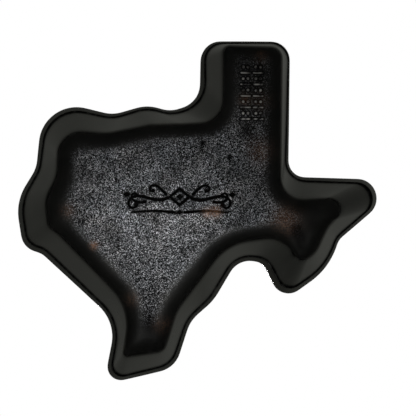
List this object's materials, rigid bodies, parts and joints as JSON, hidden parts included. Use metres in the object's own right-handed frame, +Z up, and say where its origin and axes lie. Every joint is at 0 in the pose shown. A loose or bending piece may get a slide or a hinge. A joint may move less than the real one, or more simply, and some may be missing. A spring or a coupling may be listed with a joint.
{
  "type": "skillet",
  "caption": "State-map-shaped cast-iron skillet with flared walls, a banded rim and a flat base, gripped by its panhandle.",
  "frame": {"origin": "centre of the overall outline in plan, on the plane that the base stands on", "axes": "+Z up out of the pan's mouth, +X towards the map's east, +Y towards the map's north, which is the end of the panhandle that the hand holds"},
  "size_m": [0.2412, 0.2276, 0.038],
  "materials": {
    "seasoned_iron": "oiled seasoning, near black: smooth satin walls and heel, coarse sand-cast grain on the flat base, a few rust-brown flecks"
  },
  "bodies": {
    "root": {"skillet_casting": "seasoned_iron"}
  },
  "joints": []
}
